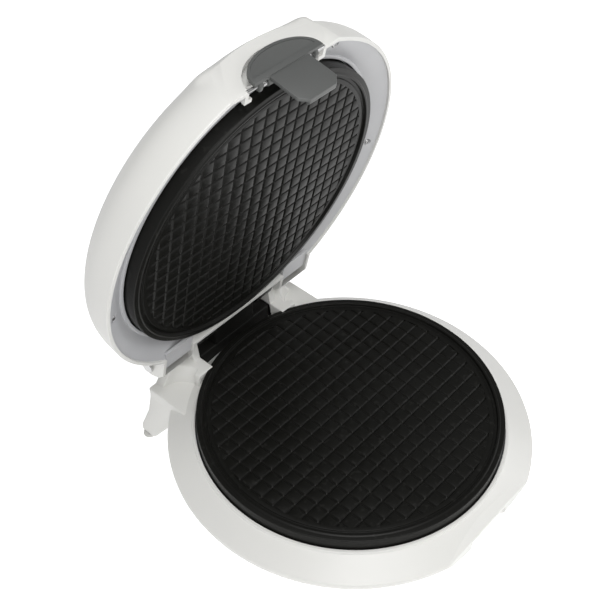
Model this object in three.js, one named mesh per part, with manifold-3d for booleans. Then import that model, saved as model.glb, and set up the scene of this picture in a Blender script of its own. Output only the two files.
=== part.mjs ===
// Round wafer and waffle-cone baker with its lid standing open.
// Millimetres, +Z up, front towards -Y. The origin is the centre of the base's underside.
import * as THREE from 'three';
import { mergeVertices } from 'three/addons/utils/BufferGeometryUtils.js';
import Module from 'manifold-3d';

const wasm = await Module();
wasm.setup();

// ---------------------------------------------------------------- driving dimensions
const plateRadius = 105;
const closingHeight = 50;          // the plane where the two plates meet, above the underside
const footHeight = 3;              // how far the rubber feet stand below the underside
const shellMargin = 21;            // the shells are wider than the plates by this, all round
const domeHeight = 51.7;           // top of the lid above the closing plane
const frontInset = 8;              // the flat front faces cut this much off the round shells
const frontHalfWidth = 44;         // half width of the lid's raised front panel
const wall = 2.5;                  // plastic wall
const fit = 0.4;                   // gap between pieces that are fixed to each other
const play = 0.7;                  // gap between pieces that move past each other

const openAngle = 77.4;            // degrees the lid stands open
const hingeRise = 14.3;            // hinge axis above the closing plane
const pinRadius = 2.5;

// the two baking plates
const plateGap = 0.6;              // between the two rims when closed
const plateShow = 8.6;             // height of each plate above the lip of its shell
const rimWidth = 3.4;
const borderWidth = 3;
const grooveCount = 19;            // grooves each way across the upper baking face
const grooveWidth = 1.7;
const grooveDepth = 1;
const beadWidth = 1.8;
const moatWidth = 2.4;
const faceDepth = 1.3;             // baking face below the rim
const moatDepth = 2;
const plateFloor = 4.2;
const plateSkirt = 15;             // depth of the plate's outer wall
const plateBossRadius = 4;
const plateBossInset = 17;         // from the plate's edge to its screw bosses

// shells
const lipGap = 1;                  // between a plate and the lip around it
const lipWidth = 2.2;
const collarDepth = 8.4;           // the lip's collar reaches this far behind the lip
const edgeDrop = 20;               // widest edge of the base below the closing plane
const baseInset = 22;              // the underside is narrower than the shell by this, all round
const rimLift = 0.6;               // rim of the lid above the closing plane
const coverThickness = wall;

// rear arms and hinge
const armInner = 43;
const armOuter = 74;
const armOverhang = 4.5;           // rear end of the base's arms behind the hinge axis
const shelfDrop = 12.6;            // top of the base's arms below the closing plane
const knuckleRadius = 9;
const uprightWidth = 5.6;
const blockHalfWidth = 35.8;       // black hinge blocks
const knuckleHalfWidth = 20;
const hingeBlockGap = 0.3;         // between the lid's notch and the hinge block's wall
const hingeBlockWall = 1.6;
const towerDrop = 0.4;             // top of the hinge towers below the closing plane
const towerFoot = 70;              // outer side of a tower where it leaves the arm
const towerRoof = 58;              // and at its top
const coveRadius = 20;
const coveX = 70;
const towerLength = 28;            // from the cove's centre to the rear end
const legSplay = 0.42;             // sideways slope of the rear legs
const legThickness = 5;

// latch
const latchPivotInset = 0.5;       // latch pivot behind the flat front
const latchPivotRise = 1.6;
const tabHalfWidth = 28;
const tabHeight = 17.5;
const tabPlate = 2.6;
const tongueHalfWidth = 15.5;
const tongueThickness = 2.5;
const tongueReach = 25.6;          // tip of the tongue below the closing plane
const hookLength = 3.3;
const hookThickness = 3;
const ledgeTop = 18.5;             // catch ledge on the base, below the closing plane
const ledgeBottom = 22;
const latchPinRadius = 1.1;

// electrical parts
const elementRadius = 3.4;
const elementInset = 33;           // from the plate's edge to the element's centre line
const shieldThickness = 0.8;

// feet and screws of the case
const frontFootRadius = 7;
const frontFootInset = 16.32;      // from the edge of the underside to a front foot's centre
const footRecess = 1;              // depth of the recess in the cover that holds a front foot
const rearFootRadius = 4.6;
const coverScrewInset = 10;        // from the edge of the underside
const coverScrewAngles = [35, 145, 215, 325];
const coverScrewSeat = 1.2;
const lidScrewInset = 8.5;         // from the shells' widest radius
const lidScrewAngles = [-97, -23.5, 23.5, 97];
const lidPostRadius = 3.4;
const lidScrewSink = 1.1;
const ringThickness = 2;
const ringRimRise = 2.2;           // outer edge of the lid's inner ring above the closing plane

// indicator lamps
const lampRadius = 3.6;
const lampSpacing = 9;
const lampInset = 56;              // lamps behind the flat front
const panelLength = 40;            // raised front panel, back from the flat front

// places that follow from the sizes above
const shellRadius = plateRadius + shellMargin;
const lidRadius = shellRadius - 0.2;
const baseRadius = shellRadius - baseInset;
const frontFlat = shellRadius - frontInset;
// The hinge lies as close behind the plate as the notch's wall, the block's wall and the knuckle let it.
const lidNotchFront = plateRadius + wall + fit;
const notchFront = lidNotchFront + hingeBlockGap + hingeBlockWall;
const hingeY = notchFront + play + knuckleRadius;
const armEnd = hingeY + armOverhang;
const coveY = armEnd - towerLength;
const latchPivotY = frontFlat - latchPivotInset;
const plateBossOrbit = plateRadius - plateBossInset;
const elementOrbit = plateRadius - elementInset;
const frontFootPlace = (baseRadius - frontFootInset) / Math.SQRT2;
const coverScrewOrbit = baseRadius - coverScrewInset;
const lidScrewOrbit = shellRadius - lidScrewInset;
const lampY = -(frontFlat - lampInset);
const beyond = 2 * shellRadius;    // cutting blocks reach this far past the shells

const roundSteps = 40;
const smallSteps = 14;

// ---------------------------------------------------------------- materials
const white = { color: 0xeeeeea, roughness: 0.32, metalness: 0 };
const black = { color: 0x1b1b19, roughness: 0.5, metalness: 0 };
const coating = { color: 0x20201d, roughness: 0.42, metalness: 0.1 };
const grey = { color: 0x6f7371, roughness: 0.45, metalness: 0 };
const steel = { color: 0xb9bcbe, roughness: 0.3, metalness: 1 };
const sheet = { color: 0xc9cbcc, roughness: 0.42, metalness: 1 };
const rubber = { color: 0x2a2a2a, roughness: 0.9, metalness: 0 };
const amber = { color: 0xe0701c, roughness: 0.2, metalness: 0 };
const green = { color: 0x2fa04a, roughness: 0.2, metalness: 0 };
const glass = { color: 0xf2d9c4, roughness: 0.1, metalness: 0 };

// ---------------------------------------------------------------- solids
// A geometry becomes a solid once its vertices are shared and its faces point out.
function solid(geometry) {
  geometry.deleteAttribute('normal');
  geometry.deleteAttribute('uv');
  const merged = mergeVertices(geometry, 1e-4);
  const points = merged.attributes.position.array;
  const faces = [];
  const order = merged.index.array;
  for (let i = 0; i < order.length; i += 3) {
    const [a, b, c] = [order[i], order[i + 1], order[i + 2]];
    if (a !== b && b !== c && a !== c) faces.push(a, b, c);
  }
  if (signedVolume(points, faces) < 0) {
    for (let i = 0; i < faces.length; i += 3) {
      [faces[i + 1], faces[i + 2]] = [faces[i + 2], faces[i + 1]];
    }
  }
  return new wasm.Manifold(new wasm.Mesh({
    numProp: 3,
    vertProperties: new Float32Array(points),
    triVerts: new Uint32Array(faces),
  }));
}

function signedVolume(points, faces) {
  const corner = (i) => new THREE.Vector3().fromArray(points, 3 * i);
  let volume = 0;
  for (let i = 0; i < faces.length; i += 3) {
    const [a, b, c] = [corner(faces[i]), corner(faces[i + 1]), corner(faces[i + 2])];
    volume += a.dot(b.cross(c)) / 6;
  }
  return volume;
}

function geometryOf(body) {
  const mesh = body.getMesh();
  const geometry = new THREE.BufferGeometry();
  geometry.setAttribute('position', new THREE.Float32BufferAttribute(mesh.vertProperties, 3));
  geometry.setIndex(Array.from(mesh.triVerts));
  return geometry;
}

// A solid of revolution about Z through [radius, height] points.
function turned(profile, steps = roundSteps) {
  const points = profile.map(([r, z]) => new THREE.Vector2(r, z));
  if (profile[0][0] > 0) points.push(points[0].clone());
  return solid(new THREE.LatheGeometry(points, steps).rotateX(Math.PI / 2));
}

function outline(points) {
  return new THREE.Shape(points.map(([u, v]) => new THREE.Vector2(u, v)));
}

// A prism with its [y, z] outline drawn across X.
function acrossX(points, x0, x1) {
  const geometry = new THREE.ExtrudeGeometry(outline(points), { depth: x1 - x0, bevelEnabled: false });
  const basis = new THREE.Matrix4().makeBasis(
    new THREE.Vector3(0, 1, 0), new THREE.Vector3(0, 0, 1), new THREE.Vector3(1, 0, 0));
  return solid(geometry.applyMatrix4(basis).translate(x0, 0, 0));
}

function block(x0, x1, y0, y1, z0, z1) {
  const geometry = new THREE.BoxGeometry(x1 - x0, y1 - y0, z1 - z0);
  return solid(geometry.translate((x0 + x1) / 2, (y0 + y1) / 2, (z0 + z1) / 2));
}

function rodAlongX(radius, x0, x1, y, z, steps = smallSteps) {
  const geometry = new THREE.CylinderGeometry(radius, radius, x1 - x0, steps).rotateZ(Math.PI / 2);
  return solid(geometry.translate((x0 + x1) / 2, y, z));
}

function rodAlongZ(radius, z0, z1, x, y, steps = smallSteps) {
  const geometry = new THREE.CylinderGeometry(radius, radius, z1 - z0, steps).rotateX(Math.PI / 2);
  return solid(geometry.translate(x, y, (z0 + z1) / 2));
}

function rodAlongY(radius, y0, y1, x, z, steps = smallSteps) {
  const geometry = new THREE.CylinderGeometry(radius, radius, y1 - y0, steps);
  return solid(geometry.translate(x, (y0 + y1) / 2, z));
}

function join(bodies) {
  return bodies.reduce((whole, body) => whole.add(body));
}

function cut(body, tools) {
  return tools.reduce((rest, tool) => rest.subtract(tool), body);
}

function onOrbit(radius, degrees) {
  const turn = THREE.MathUtils.degToRad(degrees);
  return [radius * Math.sin(turn), -radius * Math.cos(turn)];
}

const bothSides = (make) => [make(-1), make(1)];
const ordered = (a, b) => [Math.min(a, b), Math.max(a, b)];

// A block or prism given by its distances from the middle plane, on the side it is asked for.
function sideBlock(side, xNear, xFar, y0, y1, z0, z1) {
  return block(...ordered(side * xNear, side * xFar), y0, y1, z0, z1);
}

function sidePrism(side, xNear, xFar, points) {
  return acrossX(points, ...ordered(side * xNear, side * xFar));
}

// a disc outline in the y-z plane, drawn as part of a profile
function arc(y, z, radius, from, to, steps) {
  return Array.from({ length: steps + 1 }, (_, i) => {
    const turn = THREE.MathUtils.degToRad(from + (to - from) * i / steps);
    return [y + radius * Math.cos(turn), z + radius * Math.sin(turn)];
  });
}

// ---------------------------------------------------------------- baking plates
const lipRadius = plateRadius + lipGap;
const collarRadius = lipRadius + lipWidth;
const faceUnderside = faceDepth + plateFloor;
const gridRadius = plateRadius - rimWidth - beadWidth - moatWidth - borderWidth;
const groovePitch = 2 * gridRadius / (grooveCount + 0.4);

// Two families of straight V grooves that cross at right angles inside the grid circle.
function grooveGrid(shift) {
  const half = grooveWidth / 2;
  const section = [[-half, 0.2], [half, 0.2], [half, 0], [0, -grooveDepth], [-half, 0]];
  const last = (grooveCount - 1) / 2;
  const grooves = [];
  for (let i = -last; i <= last - 2 * shift; i += 1) {
    const offset = (i + shift) * groovePitch;
    const reach = Math.sqrt(gridRadius ** 2 - offset ** 2);
    const along = acrossX(section, -reach, reach).translate([0, offset, -faceDepth]);
    grooves.push(along, along.rotate([0, 0, 90]));
  }
  return join(grooves);
}

// The plate is drawn face up with its rim at height 0. shift moves its grooves by a share of the pitch.
function bakingPlate(shift) {
  const beadOuter = plateRadius - rimWidth;
  const moatOuter = beadOuter - beadWidth;
  const moatInner = moatOuter - moatWidth;
  const skirtInner = plateRadius - 2.6;
  const casting = turned([
    [0, -faceDepth], [moatInner, -faceDepth], [moatInner, -moatDepth], [moatOuter, -moatDepth],
    [moatOuter, 0], [beadOuter, 0], [beadOuter + 0.5, -0.5],
    [plateRadius, -0.5], [plateRadius, -plateSkirt], [skirtInner, -plateSkirt],
    [skirtInner, -faceUnderside], [0, -faceUnderside],
  ]);
  const bosses = [0, 120, 240].map((degrees) => {
    const [x, y] = onOrbit(plateBossOrbit, degrees + 60);
    return rodAlongZ(plateBossRadius, -plateSkirt, -faceUnderside + 0.5, x, y, 12);
  });
  const boltHoles = [0, 120, 240].map((degrees) => {
    const [x, y] = onOrbit(plateBossOrbit, degrees + 60);
    return rodAlongZ(1.9, -plateSkirt - 1, -faceUnderside + 1, x, y, 8);
  });
  return cut(join([casting, ...bosses]), [...boltHoles, grooveGrid(shift)]);
}

function heatingElement() {
  const gapAngle = THREE.MathUtils.degToRad(24);
  const half = Math.PI - gapAngle / 2;
  const height = -faceUnderside - elementRadius - 0.4;
  const loop = Array.from({ length: 15 }, (_, i) => {
    const turn = Math.PI / 2 + gapAngle / 2 + 2 * half * i / 14;
    return new THREE.Vector3(elementOrbit * Math.cos(turn), elementOrbit * Math.sin(turn), height);
  });
  const curve = new THREE.CatmullRomCurve3(loop);
  const circle = new THREE.Shape().absarc(0, 0, elementRadius, 0, 2 * Math.PI);
  const geometry = new THREE.ExtrudeGeometry(circle, { steps: 30, extrudePath: curve, curveSegments: 3 });
  const ends = bothSides((side) => {
    const turn = Math.PI / 2 + side * gapAngle / 2;
    const [x, y] = [elementOrbit * Math.cos(turn), elementOrbit * Math.sin(turn)];
    return rodAlongY(1.6, y - 20, y + 1, x, height, 8);
  });
  return join([solid(geometry), ...ends]);
}

// A dished disc behind the plate, clamped against the collar by three screws.
function heatShield() {
  const top = -plateShow - collarDepth - fit;
  const floor = top - 8;
  const t = shieldThickness;
  const pan = turned([
    [0, floor], [elementOrbit - 6, floor], [elementOrbit + 6, top - t], [collarRadius + 2, top - t],
    [collarRadius + 2, top], [elementOrbit + 5.6, top], [elementOrbit - 6.4, floor + t], [0, floor + t],
  ], 30);
  const holes = [0, 120, 240].map((degrees) => {
    const [x, y] = onOrbit(plateBossOrbit, degrees + 60);
    return rodAlongZ(2.1, floor, top + 2, x, y, 8);
  });
  const flats = bothSides((side) => block(
    -beyond, beyond, ...ordered(side * plateRadius, side * beyond), floor - 9, top + 9));
  return cut(pan, [...holes, ...flats]);
}

function panScrew(shank, length, head, headHeight) {
  return turned([
    [0, length], [shank, length], [shank, 0], [head, 0], [head * 0.8, -headHeight], [0, -headHeight],
  ], 8);
}

const plateScrewSeat = -plateShow - collarDepth - fit - shieldThickness - 0.3;

function thermostat() {
  const top = -faceUnderside - 0.4;
  return join([
    rodAlongZ(9, top - 5, top, 0, 0),
    rodAlongZ(6.5, top - 11, top - 4.5, 0, 0),
    block(-9, 9, -2.2, 2.2, top - 9.6, top - 8.2),
  ]);
}

function thermalFuse() {
  const top = -faceUnderside - 0.4;
  return join([
    rodAlongX(2.2, -8, 8, 40, top - 2.2, 10),
    rodAlongX(0.7, -15, 15, 40, top - 2.2, 6),
  ]);
}

// ---------------------------------------------------------------- base
const hingeHeight = closingHeight + hingeRise;

function level(below) {
  return closingHeight - below;
}

// Outer surface of the base, or its inner surface when inset by the wall.
function baseBowl(inset) {
  const bottom = inset > 0 ? -1 : 0;
  const edge = shellRadius - inset;
  return turned([
    [0, bottom], [baseRadius - inset, bottom], [baseRadius - inset, 3],
    [edge - 4.5, level(edgeDrop + 7) + inset * 0.3], [edge - 1, level(edgeDrop + 3)],
    [edge, level(edgeDrop)], [edge - 0.7, level(edgeDrop - 1.6) - inset * 0.4],
    [edge - 3.2, level(edgeDrop - 3) - inset * 0.6], [collarRadius + 0.2, level(plateShow + 1.4) - inset],
    [0, level(plateShow + 1.4) - inset],
  ]);
}

function frontCutter(inset) {
  const y = -(frontFlat - inset);
  const slope = 9;
  return acrossX([
    [y - 60, level(90)], [y, level(90)], [y, level(ledgeTop) - inset * 0.5],
    [y + slope, level(plateShow) - inset * 0.5], [y + slope, level(-40)], [y - 60, level(-40)],
  ], -beyond, beyond);
}

function baseArm(side, inset) {
  const top = level(shelfDrop) - inset;
  const end = armEnd - inset;
  const profile = [
    [coveY - 26, top], [end - 2, top], [end, top - 2], [end, level(31)],
    [coveY, level(41)], [coveY - 26, level(41)],
  ];
  return sidePrism(side, blockHalfWidth + fit + inset, armOuter - inset, profile);
}

function hingeSlot(grow) {
  const half = blockHalfWidth + fit + grow;
  return block(-half, half, notchFront - fit - grow, beyond, level(24.5) - grow, level(-30));
}

// A leg runs down and outwards from the arm to the surface that the base stands on.
function rearLeg(side) {
  const footTop = -footHeight + 2.4;
  const profile = [
    [armEnd, level(20)], [armEnd, level(34)], [armEnd + 3, footTop + 3], [armEnd + 1, footTop],
    [armEnd - 10, footTop], [armEnd - 13, footTop + 4], [armEnd - 22, level(36)], [armEnd - 26, level(20)],
  ];
  const leg = sidePrism(side, armOuter - legThickness, armOuter, profile);
  return leg.warp((p) => {
    p[0] += side * legSplay * Math.max(0, level(26) - p[2]);
  });
}

function upright(side) {
  const base = level(shelfDrop + 6);
  const profile = [
    [hingeY - knuckleRadius - 4, base], [hingeY - knuckleRadius, hingeHeight - 4],
    ...arc(hingeY, hingeHeight, knuckleRadius, 180, 0, 8).slice(1, -1),
    [hingeY + knuckleRadius - 4.5, base],
  ];
  const near = blockHalfWidth + fit;
  return sidePrism(side, near, near + uprightWidth, profile);
}

// A hinge tower stands on each arm behind a round cove, and its outer side leans inwards.
function tower(side, inset) {
  const foot = level(shelfDrop + 4);
  const roof = level(towerDrop) - inset;
  const near = blockHalfWidth + fit + inset;
  const far = towerFoot - inset;
  const lean = (towerFoot - towerRoof) / (shelfDrop - towerDrop);
  const mass = sideBlock(side, near, far, coveY + inset, armEnd - inset, foot, roof);
  const cove = rodAlongZ(coveRadius + inset, foot - 1, roof + 1, side * coveX, coveY, 32);
  return cut(mass, [cove]).warp((p) => {
    const rise = Math.max(0, p[2] - level(shelfDrop));
    if (side * p[0] > coveX - coveRadius) p[0] -= side * rise * lean * (side * p[0] - near) / (far - near);
  });
}

const glandHeight = level(35);
const glandY = armEnd - 2.6;

// Each screw post is tied to the wall by a rib.
function coverPosts() {
  const bottom = coverThickness + fit;
  return coverScrewAngles.flatMap((degrees) => {
    const [x, y] = onOrbit(coverScrewOrbit, degrees);
    const rib = block(-1.2, 1.2, -shellRadius, -coverScrewOrbit, bottom, level(26)).rotate([0, 0, degrees]);
    return [rodAlongZ(4.6, bottom, level(26), x, y, 10), rib];
  });
}

function baseShell() {
  const glandSeat = block(-9, 9, armEnd - 36, glandY, glandHeight - 8, glandHeight + 8);
  const outer = join([
    cut(baseBowl(0), [frontCutter(0)]),
    ...bothSides((side) => baseArm(side, 0)),
    ...bothSides((side) => tower(side, 0)),
    glandSeat,
  ]);
  const inner = join([
    cut(baseBowl(wall), [frontCutter(wall + 5)]),
    ...bothSides((side) => baseArm(side, wall)),
    ...bothSides((side) => tower(side, wall)),
  ]);
  const collar = turned([
    [lipRadius, level(plateShow)], [collarRadius, level(plateShow)],
    [collarRadius, level(plateShow + collarDepth)], [lipRadius, level(plateShow + collarDepth)],
  ]);
  const mouth = rodAlongZ(lipRadius, level(plateShow + collarDepth), level(-5), 0, 0, roundSteps);
  const hookPocket = block(
    -tongueHalfWidth - 3, tongueHalfWidth + 3, -frontFlat - 20, -frontFlat + 5,
    level(36), level(ledgeBottom));
  const hollow = cut(inner, [hingeSlot(wall), ...coverPosts()]);
  const shell = cut(outer, [hingeSlot(0), hollow, mouth, hookPocket]);
  const pinHole = rodAlongX(pinRadius + 0.1, -60, 60, hingeY, hingeHeight, 20);
  const glandHole = rodAlongY(6, armEnd - 44, beyond, 0, glandHeight);
  const screwHoles = coverScrewAngles.map((degrees) => {
    const [x, y] = onOrbit(coverScrewOrbit, degrees);
    return rodAlongZ(1.6, 0, 16, x, y, 8);
  });
  const body = join([shell, collar, ...bothSides(rearLeg), ...bothSides(upright)]);
  return cut(body, [pinHole, glandHole, ...screwHoles]);
}

function bottomCover() {
  const disc = turned([
    [0, 0], [baseRadius - wall - fit, 0], [baseRadius - wall - fit, coverThickness], [0, coverThickness],
  ]);
  const vents = [-2, -1, 1, 2].map((i) => block(i * 9 - 1.5, i * 9 + 1.5, 26, 56, -1, 9));
  const screwHoles = coverScrewAngles.flatMap((degrees) => {
    const [x, y] = onOrbit(coverScrewOrbit, degrees);
    return [rodAlongZ(2.1, -1, 9, x, y, 10), rodAlongZ(4, -1, coverScrewSeat + fit, x, y, 12)];
  });
  const recesses = bothSides((side) => rodAlongZ(
    frontFootRadius + fit, -1, footRecess, side * frontFootPlace, -frontFootPlace, 24));
  return cut(disc, [...vents, ...screwHoles, ...recesses]);
}

function rubberFoot(radius, top) {
  return turned([
    [0, -footHeight], [radius - 0.8, -footHeight], [radius, -footHeight + 0.8], [radius, top], [0, top],
  ], 14);
}

function cordGland() {
  const face = glandY + 0.4;
  const barrel = rodAlongY(5.6, face - 14, face + 1, 0, glandHeight);
  const flange = rodAlongY(7.6, face, face + 3, 0, glandHeight);
  return cut(join([barrel, flange]), [rodAlongY(4, face - 20, face + 9, 0, glandHeight)]);
}

function terminalBlock() {
  const bottom = coverThickness + fit;
  const middle = armEnd - 52;
  const body = block(-14, 14, middle - 6, middle + 6, bottom, bottom + 10);
  const wells = [-8, 0, 8].map((x) => rodAlongZ(2, bottom + 4, bottom + 12, x, middle, 8));
  return cut(body, wells);
}

function baseHingeBlock() {
  const front = notchFront;
  const rear = armEnd;
  const top = level(1.5);
  const body = block(-blockHalfWidth, blockHalfWidth, front, rear, level(24), top);
  const knuckle = acrossX([
    [front, top - 2], [front, hingeHeight - 5],
    ...arc(hingeY, hingeHeight, knuckleRadius, 180, 0, 10),
    [hingeY + knuckleRadius, top + 3], [rear, top - 2],
  ], -knuckleHalfWidth + play / 2, knuckleHalfWidth - play / 2);
  const pinHole = rodAlongX(pinRadius + 0.1, -60, 60, hingeY, hingeHeight, 20);
  return cut(join([body, knuckle]), [pinHole]);
}

// ---------------------------------------------------------------- lid, drawn closed
const lidFloor = closingHeight + rimLift;

function domeRadiusAt(share, radius) {
  return radius * (1 - share ** 3.6) ** (1 / 2.2);
}

function dome(inset) {
  const steps = 9;
  const radius = lidRadius - inset;
  const height = domeHeight - inset;
  const profile = [[0, lidFloor - inset]];
  for (let i = 0; i <= steps; i += 1) {
    const share = Math.sin(i / steps * Math.PI / 2);
    const foot = i === 0 ? lidFloor - inset : closingHeight + share * height;
    profile.push([domeRadiusAt(share, radius), foot]);
  }
  return turned(profile);
}

// The raised front panel stands flat where the dome would curve away.
function frontPanel(inset) {
  const y = -(frontFlat - inset);
  const top = closingHeight + 31 - inset;
  return acrossX([
    [y, lidFloor - inset], [y, top - 3], [y + 1.2, top], [y + 5, top + 2.4],
    [y + panelLength - inset, closingHeight + 44 - inset], [y + panelLength - inset, lidFloor - inset],
  ], -frontHalfWidth + inset, frontHalfWidth - inset);
}

function frontSlice(inset) {
  return block(-beyond, beyond, -beyond, -(frontFlat - inset), closingHeight - 20, closingHeight + 90);
}

function lidArm(side, inset) {
  const floor = lidFloor - inset;
  const profile = [
    [coveY - 12, floor], [hingeY - 0.5 - inset, floor], [hingeY + 5 - inset, floor + 3.5 + inset],
    ...arc(hingeY, hingeHeight, knuckleRadius + 1 - inset, -30, 90, 6),
    [coveY + 8, hingeHeight + knuckleRadius + 4 - inset],
    [coveY - 12, hingeHeight + knuckleRadius + 7 - inset],
  ];
  return sidePrism(side, armInner + inset, armOuter - 0.5 - inset, profile);
}

function hingeNotch(grow) {
  const half = armInner + grow;
  const roof = hingeHeight + knuckleRadius + 3 + grow;
  return block(-half, half, lidNotchFront - grow, beyond, closingHeight - 9, roof);
}

const latchZ = closingHeight + latchPivotRise;
const scoopHalfWidth = tabHalfWidth + 2;
const scoopHeight = tabHeight + 3.5;
const scoopFloorY = -(frontFlat - 6);

// The scoop behind the thumb tab is a half oval pocket, open towards the rim.
function scoop(grow, floorY) {
  const oval = new THREE.Shape();
  oval.absellipse(0, 0, scoopHalfWidth + grow, scoopHeight + grow, 0, Math.PI, false);
  oval.lineTo(-scoopHalfWidth - grow, -9);
  oval.lineTo(scoopHalfWidth + grow, -9);
  const depth = floorY + beyond;
  const geometry = new THREE.ExtrudeGeometry(oval, { depth, bevelEnabled: false, curveSegments: 12 });
  geometry.rotateX(Math.PI / 2).translate(0, floorY, closingHeight);
  return solid(geometry);
}

const ringOuter = lidRadius - wall - fit;

// Height of the inner ring's visible face, which slopes from the plate's lip out to the rim.
function ringFace(radius) {
  const share = (radius - collarRadius) / (ringOuter - collarRadius);
  return closingHeight + plateShow + 1 - share * (plateShow + 1 - ringRimRise);
}

function lidPosts() {
  return lidScrewAngles.map((degrees) => {
    const [x, y] = onOrbit(lidScrewOrbit, degrees);
    const foot = ringFace(lidScrewOrbit - lidPostRadius) + ringThickness + fit;
    return rodAlongZ(lidPostRadius, foot, closingHeight + 40, x, y, 10);
  });
}

function lidShell() {
  const outer = join([
    cut(dome(0), [frontSlice(0)]),
    frontPanel(0),
    ...bothSides((side) => lidArm(side, 0)),
  ]);
  const inner = join([
    cut(dome(wall), [frontSlice(wall)]),
    frontPanel(wall),
    ...bothSides((side) => lidArm(side, wall)),
  ]);
  const hollow = cut(inner, [hingeNotch(wall), scoop(wall, scoopFloorY + wall), ...lidPosts()]);
  const pinHole = rodAlongX(pinRadius + 0.1, -beyond, beyond, hingeY, hingeHeight, 20);
  const latchReach = scoopHalfWidth + 1.6;
  const latchHole = rodAlongX(latchPinRadius + 0.2, -latchReach, latchReach, -latchPivotY, latchZ, 8);
  const screwHoles = lidScrewAngles.map((degrees) => {
    const [x, y] = onOrbit(lidScrewOrbit, degrees);
    return rodAlongZ(1.4, closingHeight, closingHeight + 17, x, y, 8);
  });
  const lampHoles = bothSides((side) => rodAlongZ(
    lampRadius + 0.3, closingHeight + 30, closingHeight + 70, side * lampSpacing, lampY, 14));
  const openings = [hingeNotch(0), scoop(0, scoopFloorY), pinHole, latchHole];
  return cut(outer, [hollow, ...openings, ...screwHoles, ...lampHoles]);
}

function lidRing() {
  const lip = closingHeight + plateShow;
  const rim = closingHeight + ringRimRise;
  const disc = turned([
    [lipRadius, lip], [collarRadius, lip], [collarRadius + 0.2, lip + 1], [ringOuter, rim],
    [ringOuter, rim + ringThickness], [collarRadius, lip + 1 + ringThickness],
    [collarRadius, lip + collarDepth], [lipRadius, lip + collarDepth],
  ]);
  const tabs = bothSides((side) => {
    const near = armInner + wall + fit;
    const far = armOuter - 0.5 - wall - fit;
    return sideBlock(side, near, far, coveY, hingeY - 3.5 - wall, rim, rim + ringThickness);
  });
  const chord = block(-beyond, beyond, -beyond, -(frontFlat - wall - fit), 0, beyond);
  const heads = lidScrewAngles.flatMap((degrees) => {
    const [x, y] = onOrbit(lidScrewOrbit, degrees);
    return [rodAlongZ(1.6, closingHeight, closingHeight + 20, x, y, 10),
      rodAlongZ(2.6, closingHeight - 2, ringFace(lidScrewOrbit) + lidScrewSink, x, y, 12)];
  });
  const gap = wall + fit;
  return cut(join([disc, ...tabs]), [chord, hingeNotch(gap), scoop(gap, scoopFloorY + gap), ...heads]);
}

function lidHingeBlock() {
  const front = lidNotchFront + hingeBlockGap;
  const floor = closingHeight + 1.2;
  const roof = hingeHeight + knuckleRadius;
  const backWall = block(-blockHalfWidth, blockHalfWidth, front, front + hingeBlockWall, floor, roof + 1);
  const lugs = bothSides((side) => sidePrism(side, knuckleHalfWidth + play / 2, blockHalfWidth, [
    [front + 1, floor], [hingeY - 4, floor + 1], ...arc(hingeY, hingeHeight, knuckleRadius, -60, 90, 10),
    [front + 1, roof],
  ]));
  const pinHole = rodAlongX(pinRadius + 0.1, -60, 60, hingeY, hingeHeight, 20);
  return cut(join([backWall, ...lugs]), [pinHole]);
}

// ---------------------------------------------------------------- hinge pin
function hingePin() {
  const reach = armOuter - 0.5 + 0.6;
  return rodAlongX(pinRadius, -reach, reach, hingeY, hingeHeight, 20);
}

function pinCap(side) {
  const start = armOuter - 0.5 + 1.4;
  const cap = new THREE.Shape().absarc(0, 0, 4.6, 0, 2 * Math.PI);
  const geometry = new THREE.ExtrudeGeometry(cap, {
    depth: 0.8, bevelEnabled: true, bevelThickness: 0.5, bevelSize: 0.5, bevelSegments: 1, curveSegments: 9,
  });
  geometry.rotateY(Math.PI / 2).translate(start, hingeY, hingeHeight);
  if (side < 0) geometry.rotateY(Math.PI).translate(0, 0, 2 * hingeHeight);
  return solid(geometry);
}

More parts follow.
